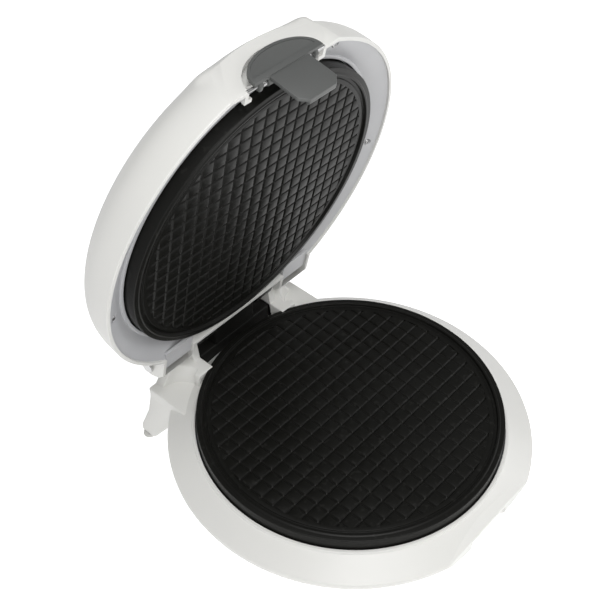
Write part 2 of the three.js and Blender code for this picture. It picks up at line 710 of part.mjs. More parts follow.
// ---------------------------------------------------------------- latch
function latchLever() {
  const y = -latchPivotY;
  const face = -(frontFlat + 4.6);
  const back = face + tabPlate;
  const tabShape = new THREE.Shape();
  const bevel = 1.6;
  const bevelDepth = 0.9;
  tabShape.absellipse(0, 0, tabHalfWidth - bevel, tabHeight - bevel, 0, Math.PI, false);
  tabShape.lineTo(-(tabHalfWidth - bevel), -0.4);
  tabShape.lineTo(tabHalfWidth - bevel, -0.4);
  const tab = new THREE.ExtrudeGeometry(tabShape, {
    depth: tabPlate - 2 * bevelDepth,
    bevelEnabled: true,
    bevelThickness: bevelDepth,
    bevelSize: bevel,
    bevelSegments: 1,
    curveSegments: 12,
  });
  tab.rotateX(Math.PI / 2).translate(0, back - bevelDepth, latchZ);
  const tongueFront = -(frontFlat + 0.9) - tongueThickness;
  const tongueBack = -(frontFlat + 0.9);
  const tip = level(tongueReach);
  const tongue = block(-tongueHalfWidth, tongueHalfWidth, tongueFront, tongueBack, tip, latchZ + 3);
  const hook = acrossX([
    [tongueBack - 0.5, tip], [tongueBack + 1, tip], [tongueBack + hookLength, tip + 1.8],
    [tongueBack + hookLength, tip + hookThickness], [tongueBack - 0.5, tip + hookThickness],
  ], -tongueHalfWidth, tongueHalfWidth);
  const corner = 5;
  const chamfers = bothSides((side) => {
    const wedge = new THREE.BoxGeometry(2 * corner, 20, 2 * corner).rotateY(Math.PI / 4);
    return solid(wedge.translate(side * (tongueHalfWidth + corner * 0.42), tongueBack, tip - corner * 0.42));
  });
  const bar = rodAlongX(3, -tongueHalfWidth - 1, tongueHalfWidth + 1, y, latchZ, 14);
  const web = block(-tongueHalfWidth - 1, tongueHalfWidth + 1, back - 0.5, y, latchZ - 0.4, latchZ + 3);
  const ears = bothSides((side) => sidePrism(side, 21, 23.4, [
    [back - 0.5, latchZ + 8], [back - 0.5, latchZ - 0.4], [y - 1, latchZ - 3], [y + 2.5, latchZ - 2.6],
    [y + 3, latchZ + 1.5], [y - 1, latchZ + 3.4],
  ]));
  const bore = rodAlongX(latchPinRadius + 0.2, -40, 40, y, latchZ, 10);
  const lever = join([solid(tab), cut(join([tongue, hook]), chamfers), web, bar, ...ears]);
  return cut(lever, [bore]);
}

function latchPin() {
  const reach = scoopHalfWidth + 1.2;
  return rodAlongX(latchPinRadius, -reach, reach, -latchPivotY, latchZ, 10);
}

// A torsion spring coiled round the pin, with one arm resting on the scoop.
function latchSpring() {
  const coil = 1.9;
  const turns = 3;
  const start = -20.2;
  const pitch = 0.95;
  const steps = 14 * turns;
  const path = Array.from({ length: steps + 1 }, (_, i) => {
    const turn = 2 * Math.PI * i / 14;
    return new THREE.Vector3(start + pitch * i / 14, coil * Math.sin(turn), coil * Math.cos(turn));
  });
  path.push(new THREE.Vector3(start + pitch * turns + 0.1, coil + 1.2, coil + 1.6));
  const curve = new THREE.CatmullRomCurve3(path);
  const wire = new THREE.Shape().absarc(0, 0, 0.4, 0, 2 * Math.PI);
  const geometry = new THREE.ExtrudeGeometry(wire, { steps: 36, extrudePath: curve, curveSegments: 3 });
  return solid(geometry.translate(0, -latchPivotY, latchZ));
}

// ---------------------------------------------------------------- indicator lamps
function lampSeat() {
  const radius = Math.hypot(lampSpacing, lampY);
  const share = (1 - (radius / lidRadius) ** 2.2) ** (1 / 3.6);
  return closingHeight + share * domeHeight;
}

function lampLens(side) {
  const top = lampSeat() + 1.6;
  const under = lampSeat() - wall - 3;
  const lens = turned([
    [0, under - 2], [5.4, under - 2], [5.4, under], [lampRadius, under], [lampRadius, top - 1.2],
    [lampRadius - 1, top - 0.2], [0, top],
  ], 14);
  return lens.translate([side * lampSpacing, lampY, 0]);
}

function neonLamp(side) {
  const top = lampSeat() - wall - 5.4;
  return rodAlongZ(2.6, top - 9, top, side * lampSpacing, lampY, 10);
}

// ---------------------------------------------------------------- assembly
function piece(name, body, finish) {
  const mesh = new THREE.Mesh(geometryOf(body), new THREE.MeshStandardMaterial(finish));
  mesh.name = name;
  return mesh;
}

const sideName = (side) => (side < 0 ? 'left' : 'right');

// Pieces of one baking head, drawn face up with the plate's rim at height 0.
function bakingHead(prefix, grooveShift) {
  const head = new THREE.Group();
  head.add(piece(`${prefix}_plate`, bakingPlate(grooveShift), coating));
  head.add(piece(`${prefix}_heating_element`, heatingElement(), steel));
  head.add(piece(`${prefix}_heat_shield`, heatShield(), sheet));
  head.add(piece(`${prefix}_thermostat`, thermostat(), sheet));
  [0, 120, 240].forEach((degrees, i) => {
    const [x, y] = onOrbit(plateBossOrbit, degrees + 60);
    const screw = piece(`${prefix}_plate_screw_${i + 1}`, panScrew(1.5, 9, 3.6, 2.2), steel);
    screw.position.set(x, y, plateScrewSeat);
    head.add(screw);
  });
  return head;
}

const appliance = new THREE.Group();

const base = new THREE.Group();
base.add(piece('base_shell', baseShell(), white));
base.add(piece('bottom_cover', bottomCover(), white));
base.add(piece('base_hinge_block', baseHingeBlock(), black));
base.add(piece('cord_gland', cordGland(), black));
base.add(piece('terminal_block', terminalBlock(), white));
base.add(piece('hinge_pin', hingePin(), steel));

for (const side of [-1, 1]) {
  const front = piece(`front_foot_${sideName(side)}`, rubberFoot(frontFootRadius, footRecess - fit), rubber);
  front.position.set(side * frontFootPlace, -frontFootPlace, 0);
  base.add(front);
  const rear = piece(`rear_foot_${sideName(side)}`, rubberFoot(rearFootRadius, -footHeight + 2), rubber);
  const splay = legSplay * (level(26) + footHeight - 2.4);
  rear.position.set(side * (armOuter - legThickness / 2 + splay), armEnd - 4.5, 0);
  base.add(rear);
  base.add(piece(`hinge_pin_cap_${sideName(side)}`, pinCap(side), steel));
}

coverScrewAngles.forEach((degrees, i) => {
  const [x, y] = onOrbit(coverScrewOrbit, degrees);
  const screw = piece(`cover_screw_${i + 1}`, panScrew(1.4, 11, 3.5, 0.9), steel);
  screw.position.set(x, y, coverScrewSeat);
  base.add(screw);
});

// The lower plate's grooves lie halfway between the upper plate's.
const lowerHead = bakingHead('lower', 0.5);
lowerHead.add(piece('lower_thermal_fuse', thermalFuse(), glass));
lowerHead.position.z = closingHeight - plateGap / 2;
base.add(lowerHead);

// The lid is drawn closed and then turned back about the hinge axis.
const lid = new THREE.Group();
lid.add(piece('lid_shell', lidShell(), white));
lid.add(piece('lid_ring', lidRing(), white));
lid.add(piece('lid_hinge_block', lidHingeBlock(), black));
lid.add(piece('latch_lever', latchLever(), grey));
lid.add(piece('latch_pin', latchPin(), steel));
lid.add(piece('latch_spring', latchSpring(), steel));
lid.add(piece('power_lamp_lens', lampLens(-1), amber));
lid.add(piece('ready_lamp_lens', lampLens(1), green));
lid.add(piece('power_neon_lamp', neonLamp(-1), glass));
lid.add(piece('ready_neon_lamp', neonLamp(1), glass));

lidScrewAngles.forEach((degrees, i) => {
  const [x, y] = onOrbit(lidScrewOrbit, degrees);
  const screw = piece(`lid_screw_${i + 1}`, panScrew(1.1, 9, 2.2, 0.9), steel);
  screw.position.set(x, y, ringFace(lidScrewOrbit) + lidScrewSink - 0.3);
  lid.add(screw);
});

const upperHead = bakingHead('upper', 0);
upperHead.rotation.y = Math.PI;
upperHead.position.z = closingHeight + plateGap / 2;
lid.add(upperHead);

lid.position.set(0, -hingeY, -hingeHeight);
const lidHinge = new THREE.Group();
lidHinge.position.set(0, hingeY, hingeHeight);
lidHinge.rotation.x = -THREE.MathUtils.degToRad(openAngle);
lidHinge.add(lid);

appliance.add(base, lidHinge);

export default appliance;
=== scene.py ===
"""Looks for the round waffle maker: shells, baking plates and latch built round the CAD frame."""

import math

import bmesh
import bpy
from mathutils import Matrix, Vector


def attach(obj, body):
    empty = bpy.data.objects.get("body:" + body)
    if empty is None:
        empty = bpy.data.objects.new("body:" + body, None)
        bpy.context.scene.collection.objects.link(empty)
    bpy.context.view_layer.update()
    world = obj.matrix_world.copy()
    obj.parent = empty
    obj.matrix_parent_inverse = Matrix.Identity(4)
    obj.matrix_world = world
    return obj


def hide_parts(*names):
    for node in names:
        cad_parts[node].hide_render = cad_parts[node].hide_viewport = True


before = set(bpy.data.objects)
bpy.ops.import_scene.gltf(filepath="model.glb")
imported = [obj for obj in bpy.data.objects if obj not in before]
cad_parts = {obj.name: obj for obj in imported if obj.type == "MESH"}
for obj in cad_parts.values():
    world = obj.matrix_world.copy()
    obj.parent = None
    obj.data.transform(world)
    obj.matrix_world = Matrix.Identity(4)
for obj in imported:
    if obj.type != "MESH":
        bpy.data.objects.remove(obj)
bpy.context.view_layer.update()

# ---------------------------------------------------------------- sizes, in millimetres
CLOSING = 50.0                      # height where the plates meet
HINGE_Y = 119.5
HINGE_Z = 64.3
OPEN_ANGLE = 77.4                   # how far the lid stands open at rest, in degrees
PLATE_RADIUS = 105.0
PLATE_GAP = 0.6
PLATE_SHOW = 8.6                    # how far a plate stands out of its lip
LIP_INNER = 106.0
LIP_OUTER = 108.2
LID_RADIUS = 125.6
LID_FLOOR = 50.6
DOME_HEIGHT = 51.7
FRONT_FLAT = 118.0                  # distance from the middle to the flat front of base and lid
WALL = 2.5
GRID_RADIUS = 94.4
GROOVE_PITCH = 2 * GRID_RADIUS / 19.4
GROOVE_WIDTH = 1.7
GROOVE_DEPTH = 1.0
ROUND_STEPS = 256

# ---------------------------------------------------------------- mesh helpers
scene = bpy.context.scene


def prism(outline, low, high, axis="X"):
    """A solid with a flat outline drawn across one axis and pulled along that axis."""
    bm = bmesh.new()
    place = {
        "X": lambda u, v: (low, u, v),
        "Y": lambda u, v: (u, low, v),
        "Z": lambda u, v: (u, v, low),
    }[axis]
    face = bm.faces.new([bm.verts.new(place(u, v)) for u, v in outline])
    pulled = bmesh.ops.extrude_face_region(bm, geom=[face])["geom"]
    way = {"X": Vector((1, 0, 0)), "Y": Vector((0, 1, 0)), "Z": Vector((0, 0, 1))}[axis]
    moved = [v for v in pulled if isinstance(v, bmesh.types.BMVert)]
    bmesh.ops.translate(bm, verts=moved, vec=way * (high - low))
    bmesh.ops.recalc_face_normals(bm, faces=bm.faces)
    return bm


def box(low, high):
    """A block between two opposite corners."""
    bm = bmesh.new()
    bmesh.ops.create_cube(bm, size=1)
    size = [top - bottom for bottom, top in zip(low, high)]
    middle = [(top + bottom) / 2 for bottom, top in zip(low, high)]
    bmesh.ops.scale(bm, verts=bm.verts, vec=size)
    bmesh.ops.translate(bm, verts=bm.verts, vec=middle)
    return bm


def rod(radius, start, end, axis, at, steps=32, end_radius=None):
    """A round bar along one axis; at holds its two other coordinates."""
    bm = bmesh.new()
    last = radius if end_radius is None else end_radius
    bmesh.ops.create_cone(
        bm, cap_ends=True, segments=steps, radius1=radius, radius2=last, depth=end - start)
    middle = (start + end) / 2
    if axis == "X":
        bmesh.ops.rotate(bm, verts=bm.verts, matrix=Matrix.Rotation(math.pi / 2, 3, "Y"))
        offset = (middle, at[0], at[1])
    elif axis == "Y":
        bmesh.ops.rotate(bm, verts=bm.verts, matrix=Matrix.Rotation(-math.pi / 2, 3, "X"))
        offset = (at[0], middle, at[1])
    else:
        offset = (at[0], at[1], middle)
    bmesh.ops.translate(bm, verts=bm.verts, vec=offset)
    return bm


def spun(outline, steps=ROUND_STEPS):
    """A ring or a disc turned about the vertical axis from a closed [radius, height] outline."""
    bm = bmesh.new()
    corners = [bm.verts.new((r, 0, z)) for r, z in outline]
    sides = [bm.edges.new((corners[i - 1], corners[i])) for i in range(len(corners))]
    bmesh.ops.spin(
        bm, geom=corners + sides, cent=(0, 0, 0), axis=(0, 0, 1), angle=2 * math.pi,
        steps=steps, use_merge=True)
    bmesh.ops.remove_doubles(bm, verts=bm.verts, dist=1e-3)
    bmesh.ops.recalc_face_normals(bm, faces=bm.faces)
    return bm


def round_edges(bm, width, segments=3, angle=30, where=None):
    """Rounds the edges sharper than the angle; where narrows them down by their middle point."""
    limit = math.radians(angle)
    picked = []
    for edge in bm.edges:
        if len(edge.link_faces) != 2 or edge.calc_face_angle(0) < limit:
            continue
        middle = (edge.verts[0].co + edge.verts[1].co) / 2
        if where is None or where(middle):
            picked.append(edge)
    if picked:
        bmesh.ops.bevel(
            bm, geom=picked, offset=width, offset_type="OFFSET", affect="EDGES",
            segments=segments, profile=0.5, material=-1, clamp_overlap=True)
    return bm


def cut_flat(bm, point, normal):
    """Cuts away what lies beyond a plane and closes the cut."""
    geom = list(bm.verts) + list(bm.edges) + list(bm.faces)
    made = bmesh.ops.bisect_plane(
        bm, geom=geom, dist=1e-4, plane_co=point, plane_no=normal, clear_outer=True)
    rim = [e for e in made["geom_cut"] if isinstance(e, bmesh.types.BMEdge)]
    bmesh.ops.contextual_create(bm, geom=rim)
    bmesh.ops.recalc_face_normals(bm, faces=bm.faces)
    return bm


def gather(parts):
    """Puts several solids into one mesh."""
    whole = bmesh.new()
    for part in parts:
        held = bpy.data.meshes.new("held")
        part.to_mesh(held)
        part.free()
        whole.from_mesh(held)
        bpy.data.meshes.remove(held)
    return whole


def mirrored(make):
    """The same solid made for the left and for the right side."""
    right = make()
    left = right.copy()
    bmesh.ops.scale(left, verts=left.verts, vec=(-1, 1, 1))
    bmesh.ops.reverse_faces(left, faces=left.faces)
    return [left, right]


def carved(bm, *tools, operation="DIFFERENCE"):
    """bm with the tools cut out of it, or joined to it where the operation is a union."""
    whole = bpy.data.objects.new("whole", bpy.data.meshes.new("whole"))
    bm.to_mesh(whole.data)
    bm.free()
    scene.collection.objects.link(whole)
    cutters = []
    for tool in tools:
        cutter = bpy.data.objects.new("cutter", bpy.data.meshes.new("cutter"))
        tool.to_mesh(cutter.data)
        tool.free()
        scene.collection.objects.link(cutter)
        step = whole.modifiers.new("cut", "BOOLEAN")
        step.operation = operation
        step.solver = "EXACT"
        step.object = cutter
        cutters.append(cutter)
    bpy.context.view_layer.update()
    result = bpy.data.meshes.new_from_object(
        whole.evaluated_get(bpy.context.evaluated_depsgraph_get()))
    for held in [whole, *cutters]:
        mesh = held.data
        bpy.data.objects.remove(held)
        bpy.data.meshes.remove(mesh)
    out = bmesh.new()
    out.from_mesh(result)
    bpy.data.meshes.remove(result)
    bmesh.ops.remove_doubles(out, verts=out.verts, dist=1e-4)
    return out


def arc(middle, radius, turns):
    """Points at one distance from a middle point, one for each angle in degrees."""
    return [
        (middle[0] + radius * math.cos(math.radians(a)), middle[1] + radius * math.sin(math.radians(a)))
        for a in turns]


def half_ellipse(half_width, height, foot, step):
    """The upper half of an ellipse that stands on the height foot, drawn from right to left."""
    turns = [math.radians(a) for a in range(0, 181, step)]
    return [(half_width * math.cos(t), foot + height * math.sin(t)) for t in turns]


def orbit(radius, degrees):
    """A place on a circle round the middle; 0 degrees is at the front."""
    turn = math.radians(degrees)
    return radius * math.sin(turn), -radius * math.cos(turn)


HINGE = (HINGE_Y, HINGE_Z)
LID_TURN = (
    Matrix.Translation((0, HINGE_Y, HINGE_Z))
    @ Matrix.Rotation(-math.radians(OPEN_ANGLE), 4, "X")
    @ Matrix.Translation((0, -HINGE_Y, -HINGE_Z)))


def piece(name, bm, body, look, replaces=(), sharp=32):
    """Places a finished mesh in metres: lid and latch are drawn closed and turned open here."""
    if body in ("lid", "latch"):
        bmesh.ops.transform(bm, verts=bm.verts, matrix=LID_TURN)
    bmesh.ops.scale(bm, verts=bm.verts, vec=(0.001, 0.001, 0.001))
    mesh = bpy.data.meshes.new(name)
    bm.to_mesh(mesh)
    bm.free()
    mesh.shade_smooth()
    mesh.set_sharp_from_angle(angle=math.radians(sharp))
    mesh.materials.append(look)
    made = bpy.data.objects.new(name, mesh)
    scene.collection.objects.link(made)
    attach(made, body)
    if replaces:
        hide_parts(*replaces)
    return made


# ---------------------------------------------------------------- materials
SPECK_RANGE = (0.66, 0.74)          # the noise values between which a speck fades in
PATCH_RANGE = (0.3, 0.7)            # the noise values between which the second colour mixes in
GLOSS_RANGE = (0.25, 0.75)          # the noise values between which the roughness changes
GRAIN_HEIGHT = 0.0004               # metres
SHEET_STRETCH = (1.0, 0.06, 1.0)    # draws the patches of rolled sheet out along Y


def surface_variation():
    """Shared surface variation: fine grain, broad patches and sparse specks."""
    group = bpy.data.node_groups.new("surface_variation", "ShaderNodeTree")
    face = group.interface
    face.new_socket("Vector", in_out="INPUT", socket_type="NodeSocketVector")
    for name, start in (("Grain Scale", 1400.0), ("Patch Scale", 18.0), ("Speck Scale", 260.0)):
        socket = face.new_socket(name, in_out="INPUT", socket_type="NodeSocketFloat")
        socket.default_value = start
    for name in ("Grain", "Patches", "Specks"):
        face.new_socket(name, in_out="OUTPUT", socket_type="NodeSocketFloat")
    nodes, links = group.nodes, group.links
    came = nodes.new("NodeGroupInput")
    gone = nodes.new("NodeGroupOutput")
    for name, detail, source in (("Grain", 2.0, "Grain Scale"), ("Patches", 4.0, "Patch Scale")):
        noise = nodes.new("ShaderNodeTexNoise")
        noise.inputs["Detail"].default_value = detail
        links.new(came.outputs["Vector"], noise.inputs["Vector"])
        links.new(came.outputs[source], noise.inputs["Scale"])
        links.new(noise.outputs["Fac"], gone.inputs[name])
    specks = nodes.new("ShaderNodeTexNoise")
    specks.inputs["Detail"].default_value = 1.0
    links.new(came.outputs["Vector"], specks.inputs["Vector"])
    links.new(came.outputs["Speck Scale"], specks.inputs["Scale"])
    narrow = nodes.new("ShaderNodeMapRange")
    narrow.inputs["From Min"].default_value = SPECK_RANGE[0]
    narrow.inputs["From Max"].default_value = SPECK_RANGE[1]
    links.new(specks.outputs["Fac"], narrow.inputs["Value"])
    links.new(narrow.outputs["Result"], gone.inputs["Specks"])
    return group


VARIATION = surface_variation()


def finish(name, colour, shade, rough, metallic=0.0, bump=0.05, grain=1400.0, patch=18.0,
           speck=0.0, coat=0.0, ior=1.5, transmission=0.0, sheet_marks=False):
    """One moulded, coated or metal finish.

    shade is the second colour that the patches mix in, and rough the range of the roughness.
    """
    made = bpy.data.materials.new(name)
    made.use_nodes = True
    nodes, links = made.node_tree.nodes, made.node_tree.links
    shader = nodes["Principled BSDF"]
    shader.inputs["Metallic"].default_value = metallic
    shader.inputs["IOR"].default_value = ior
    shader.inputs["Coat Weight"].default_value = coat
    shader.inputs["Coat Roughness"].default_value = 0.12
    shader.inputs["Transmission Weight"].default_value = transmission
    place = nodes.new("ShaderNodeTexCoord")
    variation = nodes.new("ShaderNodeGroup")
    variation.node_tree = VARIATION
    variation.inputs["Grain Scale"].default_value = grain
    variation.inputs["Patch Scale"].default_value = patch
    source = place.outputs["Object"]
    if sheet_marks:
        stretch = nodes.new("ShaderNodeMapping")
        stretch.inputs["Scale"].default_value = SHEET_STRETCH
        links.new(source, stretch.inputs["Vector"])
        source = stretch.outputs["Vector"]
    links.new(source, variation.inputs["Vector"])
    tint = nodes.new("ShaderNodeMix")
    tint.data_type = "RGBA"
    tint.inputs["A"].default_value = (*colour, 1)
    tint.inputs["B"].default_value = (*shade, 1)
    soft = nodes.new("ShaderNodeMapRange")
    soft.inputs["From Min"].default_value = PATCH_RANGE[0]
    soft.inputs["From Max"].default_value = PATCH_RANGE[1]
    links.new(variation.outputs["Patches"], soft.inputs["Value"])
    links.new(soft.outputs["Result"], tint.inputs["Factor"])
    colour_out = tint.outputs["Result"]
    if speck > 0:
        dots = nodes.new("ShaderNodeMix")
        dots.data_type = "RGBA"
        weight = nodes.new("ShaderNodeMath")
        weight.operation = "MULTIPLY"
        weight.inputs[1].default_value = speck
        links.new(variation.outputs["Specks"], weight.inputs[0])
        links.new(weight.outputs["Value"], dots.inputs["Factor"])
        links.new(colour_out, dots.inputs["A"])
        dots.inputs["B"].default_value = (*[min(1.0, c * 3 + 0.02) for c in colour], 1)
        colour_out = dots.outputs["Result"]
    links.new(colour_out, shader.inputs["Base Color"])
    gloss = nodes.new("ShaderNodeMapRange")
    gloss.inputs["From Min"].default_value = GLOSS_RANGE[0]
    gloss.inputs["From Max"].default_value = GLOSS_RANGE[1]
    gloss.inputs["To Min"].default_value = rough[0]
    gloss.inputs["To Max"].default_value = rough[1]
    links.new(variation.outputs["Patches"], gloss.inputs["Value"])
    links.new(gloss.outputs["Result"], shader.inputs["Roughness"])
    if bump > 0:
        relief = nodes.new("ShaderNodeBump")
        relief.inputs["Strength"].default_value = bump
        relief.inputs["Distance"].default_value = GRAIN_HEIGHT
        links.new(variation.outputs["Grain"], relief.inputs["Height"])
        links.new(relief.outputs["Normal"], shader.inputs["Normal"])
    return made


WHITE = finish(
    "white_plastic", (0.80, 0.80, 0.775), (0.77, 0.77, 0.75), (0.30, 0.38), bump=0.03, grain=900)
# Painted shade: the ring is the same white plastic, made darker and bluer to stand in for the shade on
# its face that turns away from the light.
RING_PAINTED_SHADE = finish(
    "ring_plastic_painted_shade", (0.60, 0.605, 0.62), (0.56, 0.565, 0.585), (0.30, 0.38), bump=0.03, grain=900)
COVER_WHITE = finish(
    "cover_plastic", (0.74, 0.74, 0.72), (0.70, 0.70, 0.68), (0.42, 0.50), bump=0.12, grain=700)
BLACK = finish(
    "black_plastic", (0.006, 0.006, 0.0055), (0.009, 0.009, 0.008), (0.38, 0.46), bump=0.10,
    grain=900, ior=1.3)
COATING = finish(
    "nonstick_coating", (0.006, 0.006, 0.005), (0.008, 0.008, 0.007), (0.34, 0.42), bump=0.10,
    grain=1600, speck=0.25, ior=1.28)
GREY = finish(
    "grey_plastic", (0.115, 0.119, 0.117), (0.10, 0.104, 0.102), (0.36, 0.44), bump=0.06,
    grain=1100)
STEEL = finish(
    "steel", (0.62, 0.62, 0.62), (0.50, 0.50, 0.50), (0.22, 0.34), metallic=1.0, bump=0.08)
SHEATH = finish(
    "element_sheath", (0.16, 0.15, 0.145), (0.10, 0.09, 0.085), (0.42, 0.55), metallic=0.8,
    bump=0.15)
SHEET = finish(
    "aluminised_sheet", (0.66, 0.67, 0.68), (0.56, 0.57, 0.58), (0.30, 0.42), metallic=1.0,
    bump=0.10, grain=500, sheet_marks=True)
PALE_RUBBER = finish(
    "pale_rubber", (0.62, 0.62, 0.60), (0.56, 0.56, 0.54), (0.60, 0.72), bump=0.2, grain=700)
RUBBER = finish(
    "rubber", (0.022, 0.022, 0.022), (0.030, 0.030, 0.029), (0.70, 0.82), bump=0.2, grain=700)
CERAMIC = finish(
    "terminal_plastic", (0.70, 0.67, 0.60), (0.64, 0.61, 0.55), (0.55, 0.65), bump=0.15)
RED_LENS = finish(
    "red_lens", (0.55, 0.02, 0.015), (0.48, 0.015, 0.01), (0.08, 0.14), bump=0.02, coat=0.5)
GREEN_LENS = finish(
    "green_lens", (0.02, 0.30, 0.06), (0.015, 0.25, 0.05), (0.08, 0.14), bump=0.02, coat=0.5)
GLASS = finish(
    "lamp_glass", (0.95, 0.86, 0.76), (0.95, 0.82, 0.70), (0.05, 0.10), bump=0.0,
    transmission=0.9)

# ---------------------------------------------------------------- baking plates
GROOVE_PROFILE = (                  # across a groove, in shares of its width and depth
    (-0.68, 0.0), (-0.5, 0.12), (-0.24, 0.78), (0.0, 1.0), (0.24, 0.78), (0.5, 0.12), (0.68, 0.0))
GRID_MARGIN = 3                     # how far the grid is drawn past its circle before the trim
GRID_SKIRT = -3                     # the depth of the trimmed edge
PLATE_FACE = -1.3
PLATE_MOAT = -2.1                   # the shallow channel round the grid
PLATE_RIM = -0.5
PLATE_SKIRT = -15
PLATE_UNDER = -5.6


def groove_grid(shift):
    """The baking face: flat pads between rounded grooves, trimmed to a circle and closed."""
    lines = [(i + shift) * GROOVE_PITCH for i in range(-11, 12)]
    lines = [at for at in lines if abs(at) < GRID_RADIUS - 1]
    stops = [(-GRID_RADIUS - GRID_MARGIN, 0.0)]
    for at in lines:
        stops += [(at + way * GROOVE_WIDTH, depth * GROOVE_DEPTH) for way, depth in GROOVE_PROFILE]
    stops.append((GRID_RADIUS + GRID_MARGIN, 0.0))
    count = len(stops) - 1
    bm = bmesh.new()
    bmesh.ops.create_grid(bm, x_segments=count, y_segments=count, size=1)
    for vert in bm.verts:
        x, x_depth = stops[round((vert.co.x + 1) / 2 * count)]
        y, y_depth = stops[round((vert.co.y + 1) / 2 * count)]
        vert.co = (x, y, -max(x_depth, y_depth))
    far = [f for f in bm.faces if f.calc_center_median().length > GRID_RADIUS + 8]
    bmesh.ops.delete(bm, geom=far, context="FACES")
    trim_round(bm, GRID_RADIUS + 0.05, 96)
    rim = [e for e in bm.edges if e.is_boundary]
    pulled = bmesh.ops.extrude_edge_only(bm, edges=rim)["geom"]
    for vert in pulled:
        if isinstance(vert, bmesh.types.BMVert):
            vert.co.z = GRID_SKIRT
    return bm


def trim_round(bm, radius, sides):
    """Cuts a flat sheet to a regular outline with many sides."""
    for i in range(sides):
        turn = 2 * math.pi * i / sides
        out = Vector((math.cos(turn), math.sin(turn), 0))
        faces = [f for f in bm.faces if f.calc_center_median().dot(out) > GRID_RADIUS * 0.93]
        verts = {v for f in faces for v in f.verts}
        edges = {e for f in faces for e in f.edges}
        bmesh.ops.bisect_plane(
            bm, geom=[*verts, *edges, *faces], dist=1e-4, plane_co=out * radius, plane_no=out,
            clear_outer=True)


def baking_plate(shift):
    """A plate drawn face up with its rim at height 0: casting, grooved face and underside."""
    casting = spun([
        (GRID_RADIUS, -3.5), (GRID_RADIUS, PLATE_FACE), (97.3, PLATE_FACE), (97.5, PLATE_MOAT),
        (99.6, PLATE_MOAT), (99.9, -0.1), (100.4, 0), (101.2, 0), (101.9, PLATE_RIM),
        (PLATE_RADIUS, PLATE_RIM), (PLATE_RADIUS, PLATE_SKIRT), (102.4, PLATE_SKIRT),
        (102.4, PLATE_UNDER), (GRID_RADIUS, PLATE_UNDER)])
    round_edges(casting, 0.55, 3, 50, lambda p: p.xy.length > 103 and p.z > -2)
    round_edges(casting, 0.2, 2, 30, lambda p: 97 < p.xy.length < 102.2 and p.z > -3)
    grid = groove_grid(shift)
    bmesh.ops.translate(grid, verts=grid.verts, vec=(0, 0, PLATE_FACE))
    under = rod(PLATE_RADIUS - 2, PLATE_UNDER, -4.6, "Z", (0, 0), 128)
    return gather([casting, grid, under])


def plate_pieces():
    """The two plates; the grooves of the lower one are half a pitch out of line."""
    lower = baking_plate(0.5)
    bmesh.ops.translate(lower, verts=lower.verts, vec=(0, 0, CLOSING - PLATE_GAP / 2))
    piece("lower_baking_plate", lower, "base", COATING, ["lower_plate"], 40)
    upper = baking_plate(0.0)
    bmesh.ops.rotate(upper, verts=upper.verts, matrix=Matrix.Rotation(math.pi, 3, "Y"))
    bmesh.ops.translate(upper, verts=upper.verts, vec=(0, 0, CLOSING + PLATE_GAP / 2))
    piece("upper_baking_plate", upper, "lid", COATING, ["upper_plate"], 40)


# ---------------------------------------------------------------- base
ARM_INNER = 36.2
ARM_OUTER = 74.0
ARM_END = 124.0
ARM_REAR = ARM_END - 0.1
SHELF = CLOSING - 12.6
BOWL_TOP = 41.4
BOWL_LEDGE = 31.5
BOWL_EDGE = 125.9
BOWL_FOOT = 104
COVER_SEAT = 101.6
COVE_CORNER = (70, 96)              # the middle of the tower's quarter-round cove, in plan
COVE_RADIUS = 20
TOWER_LEAN = 12 / 12.2
LEG_SPLAY = 0.42
KNUCKLE_RADIUS = 9
UPRIGHT_RADIUS = 8.9


def base_bowl():
    """The round base: a lip round the plate, a sloping rim and a side that tapers to the foot."""
    bowl = spun([
        (LIP_INNER, BOWL_TOP), (LIP_OUTER, BOWL_TOP), (LIP_OUTER + 0.3, 39.7),
        (BOWL_EDGE, BOWL_LEDGE), (125.4, 27.4), (121.5, 23), (BOWL_FOOT, 3), (BOWL_FOOT, 0),
        (COVER_SEAT, 0), (COVER_SEAT, 6), (LIP_INNER, 20)])
    round_edges(bowl, 1.5, 4, 25, lambda p: p.xy.length > 120 and p.z > 24)
    round_edges(bowl, 0.35, 2, 40, lambda p: p.xy.length > 104.5 and p.z > 39)
    round_edges(bowl, 0.8, 2, 25, lambda p: p.xy.length > 103 and p.z < 4)
    cut_flat(bowl, (0, -FRONT_FLAT, 0), (0, -1, 0))
    slope = Vector((0, -(BOWL_TOP - BOWL_LEDGE), 9)).normalized()
    cut_flat(bowl, (0, -FRONT_FLAT, BOWL_LEDGE), slope)
    cut_flat(bowl, (0, ARM_END - 0.4, 0), (0, 1, 0))
    round_edges(bowl, 1.0, 3, 14, lambda p: p.y < -108.5 and p.z > 2 and p.z < 41)
    return bowl


def catch_slot():
    """The slot in the front that takes the hook of the latch."""
    return box((-18.5, -140, 14), (18.5, -113, 28))


def base_arm():
    """The arm that carries the hinge, behind the bowl."""
    side = [(80, SHELF), (ARM_REAR, SHELF), (ARM_REAR, 19), (96, 9), (80, 9)]
    return round_edges(prism(side, ARM_INNER, ARM_OUTER), 1.3, 3, 30)


def hinge_tower():
    """The tower wraps round a quarter-round cove and its outer side leans inwards."""
    low, high = SHELF - 4, CLOSING - 0.4
    cove = arc(COVE_CORNER, COVE_RADIUS, range(180, 86, -6))
    outer = COVE_CORNER[0]
    plan = [(ARM_INNER, COVE_CORNER[1]), *cove, (outer, ARM_REAR), (ARM_INNER, ARM_REAR)]
    mass = prism(plan, low, high, "Z")
    for vert in mass.verts:
        rise = max(0.0, vert.co.z - SHELF)
        if vert.co.x > 50.5:
            vert.co.x -= rise * TOWER_LEAN * (vert.co.x - ARM_INNER) / (outer - ARM_INNER)
    return round_edges(mass, 0.9, 3, 35, lambda p: p.z > SHELF)


